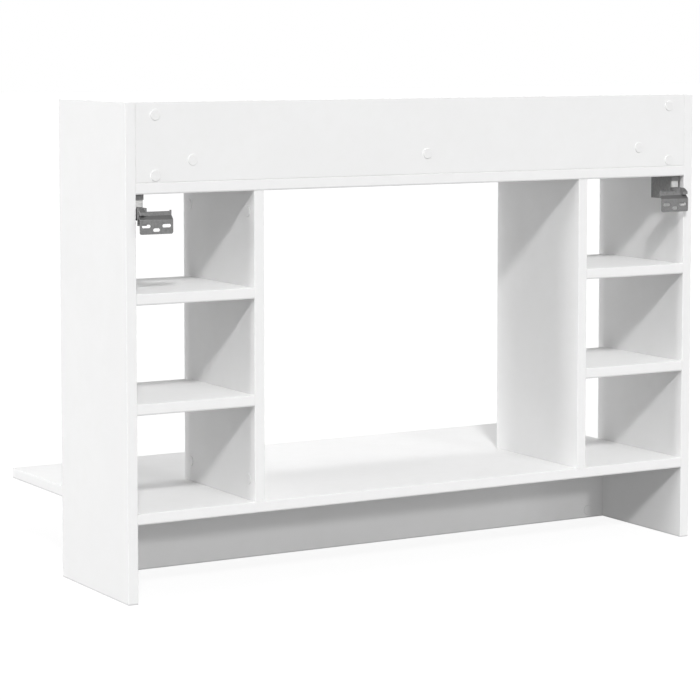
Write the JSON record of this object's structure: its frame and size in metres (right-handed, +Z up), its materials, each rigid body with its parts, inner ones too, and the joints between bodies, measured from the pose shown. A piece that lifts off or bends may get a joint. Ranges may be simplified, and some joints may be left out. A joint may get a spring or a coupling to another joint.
{
  "type": "wall-mounted desk",
  "caption": "Wall-hung desk of white boards with open cubbies at both sides, a railed top shelf, a forward desk board and adjustable steel hangers.",
  "frame": {"origin": "at the floor, in the middle of the width and of the depth from the desk's front edge to the wall", "axes": "+Z up, +X to the right as the user faces the desk, +Y towards the wall"},
  "size_m": [1, 0.467, 0.715],
  "materials": {
    "white_laminate": "matt white laminate on particle board, with matching edge band",
    "cap_plastic": "white moulded plastic",
    "cam_zinc": "die-cast zinc, dull",
    "bolt_steel": "bright zinc plate",
    "beech": "plain beech",
    "hanger_steel": "pressed steel, grey zinc plate",
    "block_zinc": "die-cast zinc, bright",
    "screw_steel": "bright zinc plate"
  },
  "bodies": {
    "carcass": {"back_rail": "white_laminate", "cam_bolts_back_rail": "bolt_steel", "cam_bolts_desk_board": "bolt_steel", "cam_bolts_dividers": "bolt_steel", "cam_bolts_front_apron": "bolt_steel", "cam_bolts_short_shelves": "bolt_steel", "cam_bolts_top_shelf": "bolt_steel", "cam_locks_back_rail": "cam_zinc", "cam_locks_desk_board": "cam_zinc", "cam_locks_dividers": "cam_zinc", "cam_locks_front_apron": "cam_zinc", "cam_locks_short_shelves": "cam_zinc", "cam_locks_top_shelf": "cam_zinc", "cover_caps_back_rail": "cap_plastic", "cover_caps_desk_board": "cap_plastic", "cover_caps_dividers": "cap_plastic", "cover_caps_front_apron": "cap_plastic", "cover_caps_short_shelves": "cap_plastic", "cover_caps_top_shelf": "cap_plastic", "desk_board": "white_laminate", "divider_left": "white_laminate", "divider_right": "white_laminate", "dowels_back_rail": "beech", "dowels_desk_board": "beech", "dowels_dividers": "beech", "dowels_front_apron": "beech", "dowels_short_shelves": "beech", "dowels_top_shelf": "beech", "front_apron": "white_laminate", "hanger_cover_left": "hanger_steel", "hanger_cover_right": "hanger_steel", "hanger_fixing_screw_left": "screw_steel", "hanger_fixing_screw_right": "screw_steel", "hanger_housing_left": "hanger_steel", "hanger_housing_right": "hanger_steel", "hanger_studs_left": "screw_steel", "hanger_studs_right": "screw_steel", "short_shelf_lower_left": "white_laminate", "short_shelf_lower_right": "white_laminate", "short_shelf_upper_left": "white_laminate", "short_shelf_upper_right": "white_laminate", "side_panel_left": "white_laminate", "side_panel_right": "white_laminate", "top_shelf": "white_laminate"},
    "height_screw_left": {"height_screw_left": "screw_steel"},
    "wedge_nut_left": {"wedge_nut_left": "block_zinc"},
    "lift_block_left": {"lift_block_left": "block_zinc"},
    "depth_screw_left": {"depth_screw_left": "screw_steel"},
    "hook_arm_left": {"hook_arm_left": "hanger_steel"},
    "wall_plate_left": {"wall_plate_left": "hanger_steel"},
    "height_screw_right": {"height_screw_right": "screw_steel"},
    "wedge_nut_right": {"wedge_nut_right": "block_zinc"},
    "lift_block_right": {"lift_block_right": "block_zinc"},
    "depth_screw_right": {"depth_screw_right": "screw_steel"},
    "hook_arm_right": {"hook_arm_right": "hanger_steel"},
    "wall_plate_right": {"wall_plate_right": "hanger_steel"}
  },
  "joints": [
    {"name": "height_screw_turn_left", "type": "hinge", "parent": "carcass", "child": "height_screw_left", "pos_m": [-0.4755, 0.1597, 0.5785], "axis": [0, 1, 0], "range_deg": [-2700, 2700]},
    {"name": "wedge_nut_travel_left", "type": "slide", "parent": "carcass", "child": "wedge_nut_left", "axis": [0, 1, 0], "range_m": [-0.006, 0.006]},
    {"name": "height_adjustment_left", "type": "slide", "parent": "carcass", "child": "lift_block_left", "axis": [0, 0, 1], "range_m": [-0.0024, 0.0024]},
    {"name": "depth_screw_turn_left", "type": "hinge", "parent": "lift_block_left", "child": "depth_screw_left", "pos_m": [-0.4755, 0.164, 0.5561], "axis": [0, 1, 0], "range_deg": [-3600, 1800]},
    {"name": "depth_adjustment_left", "type": "slide", "parent": "lift_block_left", "child": "hook_arm_left", "axis": [0, 1, 0], "range_m": [-0.004, 0.008]},
    {"name": "wall_plate_lift_off_left", "type": "slide", "parent": "hook_arm_left", "child": "wall_plate_left", "axis": [0, 0, 1], "range_m": [-0.012, 0]},
    {"name": "height_screw_turn_right", "type": "hinge", "parent": "carcass", "child": "height_screw_right", "pos_m": [0.4755, 0.1597, 0.5785], "axis": [0, 1, 0], "range_deg": [-2700, 2700]},
    {"name": "wedge_nut_travel_right", "type": "slide", "parent": "carcass", "child": "wedge_nut_right", "axis": [0, 1, 0], "range_m": [-0.006, 0.006]},
    {"name": "height_adjustment_right", "type": "slide", "parent": "carcass", "child": "lift_block_right", "axis": [0, 0, 1], "range_m": [-0.0024, 0.0024]},
    {"name": "depth_screw_turn_right", "type": "hinge", "parent": "lift_block_right", "child": "depth_screw_right", "pos_m": [0.4755, 0.164, 0.5561], "axis": [0, 1, 0], "range_deg": [-3600, 1800]},
    {"name": "depth_adjustment_right", "type": "slide", "parent": "lift_block_right", "child": "hook_arm_right", "axis": [0, 1, 0], "range_m": [-0.004, 0.008]},
    {"name": "wall_plate_lift_off_right", "type": "slide", "parent": "hook_arm_right", "child": "wall_plate_right", "axis": [0, 0, 1], "range_m": [-0.012, 0]}
  ],
  "couplings": [
    {"joint": "height_screw_turn_left", "follows": "height_adjustment_left", "rad_per_m": 19635},
    {"joint": "wedge_nut_travel_left", "follows": "height_adjustment_left", "ratio": -2.5},
    {"joint": "depth_screw_turn_left", "follows": "depth_adjustment_left", "rad_per_m": -7854},
    {"joint": "height_screw_turn_right", "follows": "height_adjustment_right", "rad_per_m": 19635},
    {"joint": "wedge_nut_travel_right", "follows": "height_adjustment_right", "ratio": -2.5},
    {"joint": "depth_screw_turn_right", "follows": "depth_adjustment_right", "rad_per_m": -7854}
  ]
}
